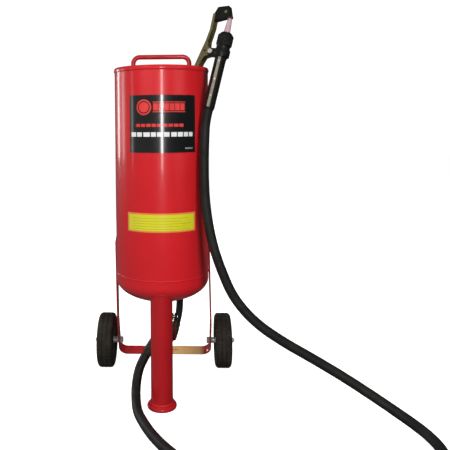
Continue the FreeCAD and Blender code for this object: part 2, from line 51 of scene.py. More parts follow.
TANK_FRAME = Matrix.Translation((0, TANK_Y, 0)) @ Matrix.Scale(MM, 4)
TANK_R = 140.0
WALL = 4.0
RIM_Z = 985.0
HEAD_Z = 355.0
HEAD_DEPTH = 66.0
SEAM_Z = 376.0
RIM_H = 14.0
OUTLET_R = 20.0
DISH_R = 136.0
DISH_Z = 948.0
DISH_DEPTH = 58.0
HANDLE_X = 84.0
HANDLE_R = 7.0
NECK_R = 32.0
BUNG_R = 16.0
SHELL_SEAM_ANGLE = 118.0
LEG_Y = -103.0
LEG_R = 32.0
FOOT_R = 43.0
AXLE_Y = 175.0
AXLE_Z = 89.0
AXLE_R = 6.0
AXLE_HEX = 19.0
WHEEL_X = 195.5
TYRE_R = 89.0
TYRE_HALF = 27.0
HUB_R = 52.0
MANIFOLD_Y = 180.0
MANIFOLD_Z = 760.0
HOSE_R = 13.75
HOSE_LEAD = 0.052
AIR_HOSE_R = 11.0
AIR_HOSE_LEAD = 0.034
STRAP_OUT = 156.5
STRAP_IN = 151.5

X = Vector((1, 0, 0))
Y = Vector((0, 1, 0))
Z = Vector((0, 0, 1))
FULL = 2 * math.pi
RIPPLE_DEPTH = 0.09
WELD_SIDES = 8


def facing(axis, across):
    """A turn that puts local Z along axis and local X nearest to across."""
    up = Vector(axis).normalized()
    side = Vector(across)
    side = (side - up * side.dot(up)).normalized()
    return Matrix((side, up.cross(side), up)).transposed().to_4x4()


def place(origin, axis=Z, across=X):
    """Local millimetres at origin, turned by facing(axis, across), to the scene."""
    return TANK_FRAME @ Matrix.Translation(Vector(origin)) @ facing(axis, across)


def add_object(name, data):
    """A new object in the scene."""
    obj = bpy.data.objects.new(name, data)
    bpy.context.scene.collection.objects.link(obj)
    return obj


# ---- mesh building -----------------------
def polar(radius, angle, z=0.0):
    """A point at an angle (radians) round Z."""
    return Vector((radius * math.cos(angle), radius * math.sin(angle), z))


def skin(rings, loop=False, caps=False, rows=None):
    """Join rings of points into a mesh. rows gives each ring's place along a UV map."""
    count = len(rings[0])
    points = [point for ring in rings for point in ring]
    faces = []
    places = []
    for i in range(len(rings) if loop else len(rings) - 1):
        near = i * count
        far = (i + 1) % len(rings) * count
        for k in range(count):
            m = (k + 1) % count
            faces.append((near + k, near + m, far + m, far + k))
            if rows:
                places += [(k / count, rows[i]), ((k + 1) / count, rows[i]),
                           ((k + 1) / count, rows[i + 1]), (k / count, rows[i + 1])]
    if caps:
        for start in (0, len(points) - count):
            faces.append(tuple(range(start, start + count)))
            places += [(0.5, 0.0)] * count
    mesh = bpy.data.meshes.new("skin")
    mesh.from_pydata(points, [], faces)
    if rows:
        layer = mesh.uv_layers.new(name="length")
        for corner, uv in zip(layer.data, places):
            corner.uv = uv
    return mesh


def soften(outline, radius, steps=3):
    """Round a closed outline's corners by at most radius; points on the axis stay."""
    result = []
    count = len(outline)
    for i, corner in enumerate(outline):
        here = Vector(corner)
        if abs(here.x) < 1e-6:
            result.append(here)
            continue
        before = Vector(outline[i - 1])
        after = Vector(outline[(i + 1) % count])
        cut = min(radius, 0.45 * (here - before).length, 0.45 * (after - here).length)
        start = here + (before - here).normalized() * cut
        end = here + (after - here).normalized() * cut
        for k in range(steps + 1):
            t = k / steps
            result.append(start * (1 - t) ** 2 + here * 2 * t * (1 - t) + end * t ** 2)
    return result


def lathe(outline, sides, radius_at=None):
    """Turn a closed (radius, height) outline about Z. radius_at(r, z, angle) may shape it."""
    rings = []
    for k in range(sides):
        angle = FULL * k / sides
        ring = []
        for r, z in outline:
            if radius_at:
                r = radius_at(r, z, angle)
            ring.append(polar(r, angle, z))
        rings.append(ring)
    return skin(rings, loop=True)


def line_frames(points, closed=False, up=None):
    """Tangent and two cross directions at every point of a line."""
    result = []
    side = None
    last = len(points) - 1
    for i, point in enumerate(points):
        before = points[i - 1] if closed or i else point
        after = points[(i + 1) % len(points)] if closed or i < last else point
        tangent = (after - before).normalized()
        if up is not None:
            side = tangent.cross(up)
        elif side is None:
            side = tangent.orthogonal()
        else:
            side = side - tangent * side.dot(tangent)
        side = side.normalized()
        result.append((tangent, side, tangent.cross(side)))
    return result


def tube(points, radius_at, sides, closed=False, up=None, with_uv=False):
    """A tube along a line. radius_at(travelled, angle) is its radius."""
    rings = []
    rows = []
    travelled = 0.0
    for i, (point, (_, a, b)) in enumerate(zip(points, line_frames(points, closed, up))):
        if i:
            travelled += (point - points[i - 1]).length
        rows.append(travelled)
        ring = []
        for k in range(sides):
            angle = FULL * k / sides
            ring.append(point + (a * math.cos(angle) + b * math.sin(angle)) * radius_at(travelled, angle))
        rings.append(ring)
    return skin(rings, loop=closed, caps=not closed, rows=rows if with_uv else None)


def resample(points, step, closed=False):
    """Points a step apart along a line."""
    loop = list(points) + ([points[0]] if closed else [])
    lengths = [(b - a).length for a, b in zip(loop, loop[1:])]
    total = sum(lengths)
    count = max(2, round(total / step))
    result = []
    i = 0
    done = 0.0
    for k in range(count if closed else count + 1):
        target = total * k / count
        while i < len(lengths) - 1 and done + lengths[i] < target:
            done += lengths[i]
            i += 1
        share = min(1.0, (target - done) / max(lengths[i], 1e-9))
        result.append(loop[i].lerp(loop[i + 1], share))
    return result


def weld(points, radius, closed=False, up=Z):
    """A rippled and slightly uneven weld bead along a line, half sunk in what it joins."""
    pitch = 3.6

    def bead(travelled, angle):
        wobble = 0.10 * noise.noise(Vector((travelled * 0.07, angle, radius)))
        return radius * (1 + wobble + RIPPLE_DEPTH * abs(math.sin(math.pi * travelled / pitch)))
    return tube(resample(points, pitch / 4, closed), bead, sides=WELD_SIDES, closed=closed, up=up)


def even_weld(points, radius, closed=False, up=None):
    """A rippled weld bead along a line, even in width."""
    radians_per_mm = 0.87

    def bead(travelled, angle):
        return radius * (1 + RIPPLE_DEPTH * abs(math.sin(radians_per_mm * travelled)))
    return tube(resample(points, 0.9, closed), bead, WELD_SIDES, closed, up)


def bead_piece(name, mesh, finish="red"):
    """A weld in the scene; its ripples are shaded smooth."""
    piece(name, mesh, finish, sharp=80)


def hexagon(across, height, bore=0.0, steps=72):
    """A nut with its corners turned down, or a bolt head where bore is 0."""
    circle = across / 2 * 0.98
    slope = math.tan(math.radians(30))
    rings = []
    for level in range(4):
        ring = []
        for k in range(steps):
            angle = FULL * k / steps
            part = (angle + math.pi / 6) % (math.pi / 3) - math.pi / 6
            corner = across / 2 / math.cos(part)
            drop = (corner - circle) * slope
            r = circle if level in (0, 3) else corner
            z = (0.0, drop, height - drop, height)[level]
            ring.append(polar(r, angle, z))
        rings.append(ring)
    if bore:
        for z in (height, 0.0):
            rings.append([polar(bore, FULL * k / steps, z) for k in range(steps)])
    return skin(rings, loop=bool(bore), caps=not bore)


def threads(radius, depth, pitch, low, high):
    """The outline of a threaded length, from low to high, as a row of grooves."""
    outline = []
    z = low
    while z < high - pitch / 2:
        outline += [(radius - depth, z), (radius, z + pitch / 2)]
        z += pitch
    return outline + [(radius - depth, high)]


def plate(outline, thickness, edge=0.4):
    """A flat outline in XY made thickness deep, with its edges softened."""
    work = bmesh.new()
    face = work.faces.new([work.verts.new((x, y, 0)) for x, y in outline])
    lifted = bmesh.ops.extrude_face_region(work, geom=[face])
    verts = [item for item in lifted["geom"] if isinstance(item, bmesh.types.BMVert)]
    bmesh.ops.translate(work, verts=verts, vec=(0, 0, thickness))
    bmesh.ops.recalc_face_normals(work, faces=work.faces)
    if edge:
        sharp = [e for e in work.edges if e.calc_face_angle(0) > math.radians(25)]
        bmesh.ops.bevel(work, geom=sharp, offset=edge, segments=2, profile=0.5, affect="EDGES")
    mesh = bpy.data.meshes.new("plate")
    work.to_mesh(mesh)
    work.free()
    return mesh


def merge(*parts):
    """One mesh from several, each a mesh or a (mesh, matrix) pair."""
    work = bmesh.new()
    for part in parts:
        mesh, matrix = part if isinstance(part, tuple) else (part, Matrix.Identity(4))
        copy = mesh.copy()
        copy.transform(matrix)
        work.from_mesh(copy)
        bpy.data.meshes.remove(copy)
    mesh = bpy.data.meshes.new("merged")
    work.to_mesh(mesh)
    work.free()
    return mesh


def shift(x=0.0, y=0.0, z=0.0):
    """A plain move."""
    return Matrix.Translation((x, y, z))


def piece(name, mesh, finish, body="root", where=TANK_FRAME, replaces=(), sharp=35):
    """Put a mesh in the scene, on its body, with its finish."""
    mesh.transform(where)
    work = bmesh.new()
    work.from_mesh(mesh)
    bmesh.ops.remove_doubles(work, verts=work.verts, dist=1e-6)
    bmesh.ops.recalc_face_normals(work, faces=work.faces)
    work.to_mesh(mesh)
    work.free()
    mesh.polygons.foreach_set("use_smooth", [True] * len(mesh.polygons))
    mesh.set_sharp_from_angle(angle=math.radians(sharp))
    mesh.materials.clear()
    mesh.materials.append(FINISHES[finish][0])
    mesh.name = name
    obj = add_object(name, mesh)
    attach(obj, body)
    if replaces:
        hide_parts(*replaces)
    return obj


# ---- finishes ----------------------------
class Nodes:
    """A node tree being put together."""

    def __init__(self, tree):
        self.tree = tree

    def put(self, socket, value):
        """Link a socket to another node's output, or set its value."""
        if isinstance(value, bpy.types.NodeSocket):
            self.tree.links.new(value, socket)
        elif value is not None:
            if isinstance(value, tuple) and len(value) == 3 and socket.type == "RGBA":
                value = value + (1.0,)
            socket.default_value = value

    def node(self, kind, inputs, **settings):
        """A new node with its inputs put and its settings set."""
        node = self.tree.nodes.new("ShaderNode" + kind)
        for key, value in settings.items():
            setattr(node, key, value)
        for key, value in inputs.items():
            self.put(node.inputs[key], value)
        return node

    def remap(self, value, low, high, to_low=0.0, to_high=1.0):
        inputs = {"Value": value, "From Min": low, "From Max": high, "To Min": to_low, "To Max": to_high}
        return self.node("MapRange", inputs).outputs["Result"]


class Surface(Nodes):
    """A material being put together; each layer goes over what is there."""

    # The Mix node's two inputs and its output, for plain values and for colours.
    VALUE_SOCKETS = (2, 3, 0)
    COLOR_SOCKETS = (6, 7, 2)

    def __init__(self, name, color, roughness, metallic=0.0, **constants):
        self.material = bpy.data.materials.new(name)
        self.material.use_nodes = True
        super().__init__(self.material.node_tree)
        self.shader = self.tree.nodes["Principled BSDF"]
        coordinates = self.tree.nodes.new("ShaderNodeTexCoord")
        self.position = coordinates.outputs["Object"]
        self.uv = coordinates.outputs["UV"]
        self.color = color
        self.roughness = roughness
        self.normal = None
        self.shader.inputs["Metallic"].default_value = metallic
        for key, value in constants.items():
            self.shader.inputs[key.replace("_", " ")].default_value = value

    def math(self, operation, *values):
        return self.node("Math", dict(enumerate(values)), operation=operation).outputs[0]

    def stretched(self, x, y, z):
        """The object's position, squeezed or stretched along its axes."""
        return self.node("Mapping", {"Vector": self.position, "Scale": (x, y, z)}).outputs[0]

    def noise(self, scale, detail, roughness=0.55, vector=None):
        inputs = {"Vector": vector or self.position, "Scale": scale, "Detail": detail, "Roughness": roughness}
        return self.node("TexNoise", inputs).outputs["Fac"]

    def cells(self, scale):
        return self.node("TexVoronoi", {"Vector": self.position, "Scale": scale}).outputs["Distance"]

    def spots(self, scale, detail, low, high, amount=1.0, roughness=0.55, vector=None):
        """Clouds of noise: 0 where it is below low, rising to amount at high."""
        return self.remap(self.noise(scale, detail, roughness, vector), low, high, 0.0, amount)

    def axis(self, index):
        return self.node("SeparateXYZ", {"Vector": self.position}).outputs[index]

    def band(self, value, low, high, soft):
        """1 where value is between low and high, falling to 0 over soft."""
        rise = self.remap(value, low - soft, low + soft)
        fall = self.remap(value, high - soft, high + soft, 1.0, 0.0)
        return self.math("MULTIPLY", rise, fall)

    def mix(self, mask, under, over, kind, sockets):
        node = self.node("Mix", {"Factor": mask}, data_type=kind)
        first, second, result = sockets
        self.put(node.inputs[first], under)
        self.put(node.inputs[second], over)
        return node.outputs[result]

    def tint(self, mask, color):
        """Lay a colour where mask is 1."""
        self.color = self.mix(mask, self.color, color, "RGBA", self.COLOR_SOCKETS)

    def rough(self, mask, value):
        """Lay a roughness where mask is 1."""
        self.roughness = self.mix(mask, self.roughness, value, "FLOAT", self.VALUE_SOCKETS)

    def bump(self, height, distance, strength=1.0):
        inputs = {"Height": height, "Distance": distance, "Strength": strength}
        if self.normal:
            inputs["Normal"] = self.normal
        self.normal = self.node("Bump", inputs).outputs["Normal"]

    def done(self):
        self.put(self.shader.inputs["Base Color"], self.color)
        self.put(self.shader.inputs["Roughness"], self.roughness)
        self.put(self.shader.inputs["Normal"], self.normal)
        return self.material


def red_paint(name, worn, depth=1.0):
    """Gloss enamel: slight orange peel, faint scuffs, and bare spots where worn. A depth below 1 darkens the
    whole colour as painted shade.
    """
    color = (0.55 * depth, 0.012 * depth, 0.017 * depth)
    s = Surface(name, color, 0.30, Coat_Weight=0.55, Coat_Roughness=0.10, IOR=1.5)
    s.tint(s.spots(5, 3, 0.35, 0.7, 0.5), tuple(0.8 * c for c in color))
    s.tint(s.spots(420, 2, 0.66, 0.78, 0.35), (0.30, 0.006, 0.009))
    s.rough(s.spots(28, 6, 0.45, 0.75), 0.36)
    scuffs = s.spots(60, 8, 0.66, 0.74, roughness=0.7, vector=s.stretched(1, 1, 0.25))
    s.rough(scuffs, 0.55)
    if worn:
        chips = s.spots(140, 6, 0.715 - worn, 0.735 - worn, roughness=0.65)
        s.tint(chips, (0.055, 0.028, 0.02))
        s.rough(chips, 0.6)
        s.bump(s.math("SUBTRACT", 1.0, chips), 0.00015)
    s.bump(s.noise(170, 2), 0.00004)
    s.bump(s.noise(900, 2), 0.000008)
    return s.done()


def frame_paint():
    """The same enamel on the bar, with a buff painted highlight on the crossbar."""
    s = Surface("frame_paint", (0.50, 0.012, 0.017), 0.26, Coat_Weight=0.9, Coat_Roughness=0.05, IOR=1.5)
    s.tint(s.spots(5, 3, 0.35, 0.7, 0.5), (0.42, 0.008, 0.012))
    # A mottled buff painted highlight, a painted reflection of the light, on the crossbar; it is made rougher
    # there too.
    along = s.band(s.axis(0), 0.024, 0.128, 0.008)
    low = s.band(s.axis(2), 0.0, 0.085, 0.004)
    highlight_mottle = s.spots(70, 6, 0.30, 0.42, roughness=0.7, vector=s.stretched(0.3, 1, 1))
    painted_highlight = s.math("MULTIPLY", s.math("MULTIPLY", along, low), highlight_mottle)
    s.tint(painted_highlight, (0.72, 0.44, 0.17))
    s.rough(painted_highlight, 0.5)
    chips = s.spots(150, 6, 0.70, 0.72, roughness=0.65)
    s.tint(chips, (0.055, 0.028, 0.02))
    s.rough(chips, 0.6)
    s.bump(s.noise(170, 2), 0.00004)
    return s.done()


def rubber(name, color, dusty, roughness=0.62):
    """Black moulded rubber, dusty where it rolls or lies."""
    s = Surface(name, color, roughness, Specular_IOR_Level=0.45)
    dust = s.spots(24, 8, 0.42, 0.72, dusty, roughness=0.65)
    s.tint(dust, (0.16, 0.135, 0.10))
    s.rough(s.spots(90, 4, 0.4, 0.7), roughness + 0.16)
    s.bump(s.noise(700, 3), 0.00008)
    s.bump(s.noise(120, 3), 0.00012)
    return s.done()


def hose_cover(name, lead, radius):
    """Wrapped hose cover: a fine cloth print and the edge of the wrapping tape."""
    s = Surface(name, (0.009, 0.009, 0.0085), 0.46, Specular_IOR_Level=0.5)
    split = s.node("SeparateXYZ", {"Vector": s.uv})
    around = split.outputs[0]
    along = split.outputs[1]
    turns = s.math("ADD", s.math("DIVIDE", along, lead), around)
    tape = s.math("FRACT", turns)
    s.bump(s.remap(tape, 0.0, 0.08), 0.00025)
    thread = 0.0016
    warp = s.math("SINE", s.math("MULTIPLY", turns, FULL * lead / thread))
    slant = s.math("SUBTRACT", around, s.math("DIVIDE", along, lead * 3))
    weft = s.math("SINE", s.math("MULTIPLY", slant, FULL * round(FULL * radius / thread)))
    s.bump(s.math("MULTIPLY", warp, weft), 0.00006, 0.6)
    s.tint(s.spots(14, 6, 0.45, 0.75, 0.5, roughness=0.6), (0.024, 0.022, 0.019))
    scuffs = s.spots(220, 6, 0.64, 0.74, 0.6, roughness=0.7)
    s.tint(scuffs, (0.065, 0.060, 0.052))
    s.rough(s.spots(40, 5, 0.4, 0.7), 0.62)
    return s.done()


def plated(name, color, roughness, stain, metallic=1.0):
    """Plated or bright metal with a mottled haze and a little stain."""
    s = Surface(name, color, roughness, metallic)
    s.tint(s.spots(60, 5, 0.35, 0.7, 0.6), tuple(0.72 * c for c in color))
    s.tint(s.spots(160, 7, 0.60, 0.72, 0.7, roughness=0.7), stain)
    s.rough(s.spots(110, 6, 0.4, 0.7), min(1.0, roughness + 0.2))
    s.bump(s.noise(1100, 2), 0.00002)
    s.bump(s.noise(200, 3), 0.00003)
    return s.done()


def chromate(name, color, straw, olive):
    """Zinc chromate on pressed steel: straw and olive clouds, with rubbed bright patches."""
    s = Surface(name, color, 0.42, 0.7)
    s.tint(s.spots(22, 5, 0.38, 0.64), straw)
    s.tint(s.spots(48, 6, 0.52, 0.66, 0.8, roughness=0.6), olive)
    s.tint(s.spots(190, 7, 0.62, 0.70, 0.6, roughness=0.7), (0.40, 0.38, 0.33))
    s.rough(s.spots(90, 6, 0.4, 0.7), 0.52)
    s.bump(s.noise(260, 4), 0.00005)
    return s.done()


def casting(name, color, metallic, stain):
    """A rough sand casting with patches of another shade."""
    s = Surface(name, color, 0.48, metallic)
    s.tint(s.spots(40, 6, 0.4, 0.7, 0.7), stain)
    s.rough(s.spots(90, 6, 0.4, 0.7), 0.66)
    s.bump(s.cells(420), 0.00018, 0.7)
    s.bump(s.noise(260, 5), 0.00022)
    return s.done()


def black_enamel(name, color, roughness):
    """Black stove enamel with a fine crinkle and rubbed spots."""
    s = Surface(name, color, roughness, 0.0, Coat_Weight=0.25, Coat_Roughness=0.2)
    rubbed = s.spots(130, 7, 0.63, 0.72, 0.7, roughness=0.7)
    s.tint(rubbed, (0.07, 0.062, 0.05))
    s.rough(s.spots(50, 5, 0.4, 0.7), roughness + 0.18)
    s.bump(s.cells(900), 0.00006, 0.7)
    s.bump(s.noise(150, 3), 0.00004)
    return s.done()


def printed(name, color, roughness=0.3):
    """Printed vinyl film: even ink with a faint screen texture."""
    s = Surface(name, color, roughness, 0.0, Coat_Weight=1.0, Coat_Roughness=0.13, Coat_IOR=1.9)
    s.tint(s.spots(12, 4, 0.4, 0.7, 0.35), tuple(0.8 * c for c in color))
    s.tint(s.spots(700, 3, 0.62, 0.75, 0.25), tuple(0.6 * c + 0.005 for c in color))
    s.rough(s.spots(35, 5, 0.45, 0.75), roughness + 0.12)
    s.bump(s.noise(130, 2), 0.00003)
    return s.done()


def nozzle_ceramic():
    """Dull pink ceramic with grey smudges."""
    s = Surface("nozzle_ceramic", (0.42, 0.27, 0.31), 0.42, Subsurface_Weight=0.05)
    s.tint(s.spots(70, 5, 0.4, 0.7, 0.7), (0.50, 0.38, 0.38))
    s.tint(s.spots(500, 5, 0.6, 0.7, 0.6, roughness=0.7), (0.24, 0.15, 0.17))
    s.rough(s.spots(60, 5, 0.4, 0.7), 0.6)
    s.bump(s.noise(500, 4), 0.00006)
    return s.done()


def clear_lens():
    """Clear plastic with a few dull smears."""
    s = Surface("gauge_glass", (0.97, 0.98, 0.98), 0.04, Transmission_Weight=1.0, IOR=1.49)
    s.rough(s.spots(300, 6, 0.62, 0.7, 0.5, roughness=0.7), 0.25)
    return s.done()


def white_floor():
    """A white studio floor that nearly glows, as in a catalogue picture."""
    s = Surface("studio_floor", (0.90, 0.895, 0.885), 0.85, Specular_IOR_Level=0.2, Emission_Strength=0.93)
    s.shader.inputs["Emission Color"].default_value = (1, 1, 1, 1)
    s.tint(s.spots(1.3, 3, 0.3, 0.8, 0.25), (0.86, 0.855, 0.85))
    s.bump(s.noise(60, 3), 0.0001)
    return s.done()


# Each finish has its material and the record's material slot.
STAIN = (0.20, 0.17, 0.13)
FINISHES = {
    "red": (red_paint("red_enamel", 0.0), "red"),
    # The enamel at 0.7 of its colour: painted shade for the top handle, the leg and the leg's weld.
    "red_painted_shade": (red_paint("red_enamel_painted_shade", 0.0, 0.7), "red"),
    # Chipped, worn enamel whose colour is also darkened to 0.78 as painted shade.
    "red_worn_painted_shade": (red_paint("red_enamel_worn_painted_shade", 0.035, 0.78), "red"),
    "red_frame": (frame_paint(), "red"),
    "tyre": (rubber("tyre_rubber", (0.016, 0.014, 0.011), 0.15), "tyre"),
    "rubber": (rubber("seal_rubber", (0.015, 0.015, 0.015), 0.12), "rubber"),
    "grip": (rubber("stopper_rubber", (0.02, 0.02, 0.019), 0.15, 0.55), "grip_rubber"),
    "hub": (rubber("hub_plastic", (0.05, 0.05, 0.052), 0.22, 0.42), "hub"),
    "bush": (rubber("bush_nylon", (0.55, 0.52, 0.44), 0.3, 0.45), "bush"),
    "hose": (hose_cover("sand_hose_cover", HOSE_LEAD, HOSE_R * MM), "hose"),
    "air_hose": (hose_cover("air_hose_cover", AIR_HOSE_LEAD, AIR_HOSE_R * MM), "hose"),
    "zinc": (plated("bright_zinc", (0.72, 0.70, 0.67), 0.30, STAIN, 0.45), "zinc"),
    # Zinc plate darkened nearly to black as painted shade, for the parts under the tank behind the leg.
    "zinc_painted_shade": (plated("zinc_in_painted_shade", (0.10, 0.09, 0.08), 0.45, (0.04, 0.03, 0.025), 0.8), "zinc"),
    "brass": (plated("forged_brass", (0.62, 0.42, 0.17), 0.30, (0.26, 0.15, 0.06)), "brass"),
    # Brass darkened to a dark brown as painted shade.
    "brass_painted_shade": (plated("brass_in_painted_shade", (0.07, 0.055, 0.035), 0.42, (0.03, 0.025, 0.02), 0.7), "brass"),
    "ball": (plated("polished_ball", (0.72, 0.72, 0.71), 0.16, STAIN), "zinc"),
    "cast": (casting("black_iron", (0.05, 0.045, 0.04), 0.4, (0.025, 0.022, 0.02)), "cast"),
    "black": (black_enamel("black_enamel", (0.006, 0.0058, 0.005), 0.36), "black_metal"),
    "olive": (chromate("olive_chromate", (0.21, 0.19, 0.10), (0.34, 0.28, 0.14), (0.15, 0.18, 0.085)),
              "olive_zinc"),
    "strip": (chromate("grey_chromate", (0.44, 0.41, 0.33), (0.50, 0.46, 0.35), (0.32, 0.32, 0.26)),
              "olive_zinc"),
    "ceramic": (nozzle_ceramic(), "ceramic"),
    "label_black": (printed("label_black_film", (0.004, 0.0045, 0.005)), "label_black"),
    "label_red": (printed("label_red_ink", (0.66, 0.03, 0.025)), "label_black"),
    "label_white": (printed("label_white_ink", (0.74, 0.74, 0.72)), "label_black"),
    "label_grey": (printed("label_grey_ink", (0.25, 0.25, 0.25)), "label_black"),
    "label_yellow": (printed("label_yellow_film", (0.66, 0.62, 0.016)), "label_yellow"),
    "label_amber": (printed("label_amber_ink", (0.70, 0.25, 0.05)), "label_yellow"),
    "label_line": (printed("label_line_ink", (0.36, 0.34, 0.03)), "label_yellow"),
    "dial": (printed("dial_face", (0.78, 0.78, 0.75), 0.4), "dial"),
    "dial_ink": (printed("dial_ink", (0.012, 0.012, 0.013), 0.4), "dial"),
    "needle": (printed("needle_enamel", (0.02, 0.02, 0.02), 0.3), "needle"),
    "lens": (clear_lens(), "lens"),
    # Red vinyl darkened to a deep maroon as painted shade.
    "sleeve": (rubber("red_vinyl_in_painted_shade", (0.10, 0.006, 0.006), 0.1, 0.45), "grip_rubber"),
}

# The CAD nodes that are shown as they are, by finish, and how far their corners are softened (mm).
CAD_PIECES = {
    "red": {"top_head": 0.8, "fill_neck": 1, "outlet_coupling": 0.8, "rear_bung": 0.8},
    # The top handle and the leg take the enamel darkened as painted shade.
    "red_painted_shade": {"top_handle": 0, "front_leg": 0},
    "red_frame": {"wheel_frame": 1.2},
    "rubber": {"filler_gasket": 0, "nozzle_gasket": 0},
    "grip": {"stopper_pad": 1},
    "bush": {"left_bush": 0, "right_bush": 0},
    "zinc": {"pop_up_plunger": 0.8, "axle_spacers": 0, "axle_washers": 0.4, "relief_ring": 0,
             "inlet_plug": 0.4, "stem_guide_pipe": 0, "air_valve_handle": 0.5},
    "brass": {"sand_valve_body": 0.8, "air_valve_body": 0.6, "relief_valve_body": 0.5},
    # These fittings take brass darkened as painted shade.
    "brass_painted_shade": {"sand_hose_coupling": 0.8, "air_inlet_elbow": 0.9, "air_hose_fittings": 0.5,
                   "air_cross": 1},
    "ball": {"sand_valve_ball": 0, "air_valve_ball": 0},
    "cast": {"mixing_tee": 1.2, "outlet_elbow": 0.9},
    "label_black": {"label_black": 0},
    "label_yellow": {"label_yellow": 0},
    "black": {"gauge_case": 0.8, "pivot_bracket": 0.8, "stopper_arm": 1.6},
    "dial": {"gauge_dial": 0},
    "needle": {"gauge_needle": 0},
    "lens": {"gauge_lens": 0},
    "olive": {"lever": 0.6},
    "strip": {"gun_strip": 0},
    # The sand valve's handle, its nut and the nipples take zinc darkened as painted shade.
    "zinc_painted_shade": {"sand_valve_handle": 0.6, "sand_valve_nut": 0.5, "pipe_nipples": 0},
}


def finish_cad_nodes():
    """Give every shown CAD node its finish, and soft edges where it has corners."""
    for finish, widths in CAD_PIECES.items():
        for name, width in widths.items():
            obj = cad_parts[name]
            for material_slot in obj.material_slots:
                material_slot.material = FINISHES[finish][0]
            if width:
                join = obj.modifiers.new("join", "WELD")
                join.merge_threshold = 1e-5
                bevel = obj.modifiers.new("edges", "BEVEL")
                bevel.width = width * MM
                bevel.segments = 2
                bevel.limit_method = "ANGLE"
                bevel.angle_limit = math.radians(38)
                bevel.harden_normals = False


# ---- vessel ------------------------------
def dish_height(radius):
    """Top surface of the dished top head."""
    return DISH_Z - DISH_DEPTH * math.sqrt(1 - (radius / DISH_R) ** 2)


def head_height(radius):
    """Outside of the bottom head."""
    return HEAD_Z - HEAD_DEPTH * math.sqrt(max(0.0, 1 - (radius / TANK_R) ** 2))


def make_tank():
    """Shell and bottom head in one skin, and the rolled rim."""
    start = math.asin(OUTLET_R / TANK_R)
    steps = 28
    walls = []
    for radius, depth in ((TANK_R, HEAD_DEPTH), (TANK_R - WALL, HEAD_DEPTH - WALL)):
        arc = []
        for k in range(steps + 1):
            angle = start + (math.pi / 2 - start) * k / steps
            arc.append((radius * math.sin(angle), HEAD_Z - depth * math.cos(angle)))
        arc.append((radius, RIM_Z - RIM_H))
        walls.append(arc)
    piece("tank_body", lathe(walls[0] + walls[1][::-1], 192), "red",
          replaces=["tank_shell", "bottom_head"], sharp=30)
    rim_low = RIM_Z - RIM_H
    rim = [(DISH_R - 1, rim_low), (TANK_R + 0.4, rim_low), (TANK_R + 1.9, rim_low + 3),
           (TANK_R + 2.2, rim_low + 7), (TANK_R + 1.2, RIM_Z - 2.4), (TANK_R - 1.2, RIM_Z),
           (DISH_R + 1.5, RIM_Z), (DISH_R - 1, RIM_Z - 2.5)]
    piece("rolled_rim", lathe(soften(rim, 2.5, 4), 192), "red", replaces=["rim_ring"], sharp=50)


def ring_line(radius, height_at, centre=(0.0, 0.0), steps=96):
    """A closed line round a vertical cylinder, at the height given for each point."""
    points = []
    for k in range(steps):
        angle = FULL * k / steps
        x = centre[0] + radius * math.cos(angle)
        y = centre[1] + radius * math.sin(angle)
        points.append(Vector((x, y, height_at(math.hypot(x, y)))))
    return points


def make_vessel_welds():
    """The tank's own two seams."""
    seam = ring_line(TANK_R - 0.9, lambda r: SEAM_Z, steps=180)
    bead_piece("head_seam_weld", weld(seam, 2.2, closed=True))
    angle = math.radians(SHELL_SEAM_ANGLE)
    back = polar(TANK_R - 0.8, angle)
    upright = weld([back + Z * (SEAM_Z + 2), back + Z * (RIM_Z - RIM_H)], 2.6, up=Y)
    bead_piece("shell_seam_weld", upright)


def make_fitting_welds():
    """A bead where the leg, handle, filler neck, outlet and rear bung meet the tank."""
    leg = ring_line(LEG_R - 0.6, head_height, (0.0, LEG_Y), 120)
    # The leg's bead takes the enamel darkened as painted shade.
    bead_piece("leg_weld", weld(leg, 2.4, closed=True), "red_painted_shade")
    feet = []
    for side in (1, -1):
        foot = ring_line(HANDLE_R + 0.4, dish_height, (side * HANDLE_X, 0.0), 32)
        feet.append(weld(foot, 2.4, closed=True))
    bead_piece("handle_welds", merge(*feet))
    neck = ring_line(NECK_R + 0.4, dish_height, steps=60)
    bead_piece("neck_weld", weld(neck, 2.8, closed=True))
    outlet = ring_line(OUTLET_R + 0.6, lambda r: head_height(r) - 0.5, steps=48)
    bead_piece("outlet_weld", weld(outlet, 3.0, closed=True))
    bung = []
    for p in ring_line(BUNG_R + 0.4, lambda r: 0.0, steps=48):
        bung.append(Vector((p.x, math.sqrt((TANK_R + 0.4) ** 2 - p.x ** 2), MANIFOLD_Z + p.y)))
    bead_piece("bung_weld", even_weld(bung, 2.5, True, Y))


def make_foot():
    """The leg's flared foot and the bead on top of it."""
    outline = [(0, 0), (FOOT_R - 1.5, 0), (FOOT_R, 2), (FOOT_R, 7), (FOOT_R - 2, 10), (LEG_R + 4, 11.5),
               (LEG_R + 0.5, 17), (0, 17)]
    # The foot's enamel is worn, and darkened as painted shade.
    piece("flared_foot", lathe(soften(outline, 2.0, 3), 96), "red_worn_painted_shade", where=place((0, LEG_Y, 0)),
          replaces=["leg_foot"], sharp=40)
    seam = ring_line(LEG_R + 1.2, lambda r: 16.0, (0.0, LEG_Y), 72)
    bead_piece("foot_weld", weld(seam, 2.6, closed=True))


# ---- labels: plain blocks and bars, no lettering ----
UNDER_INK = 0.3
INK = 0.62


def on_tank(left, right, low, high, lift, steps=24):
    """A thin film on the tank, between two angles (degrees from the front) and heights."""
    rings = []
    for k in range(steps + 1):
        angle = math.radians(left + (right - left) * k / steps)
        under = TANK_R + UNDER_INK
        over = TANK_R + lift
        column = ((under, low), (over, low), (over, high), (under, high))
        rings.append([polar(r, angle - math.pi / 2, z) for r, z in column])
    return skin(rings, caps=True)


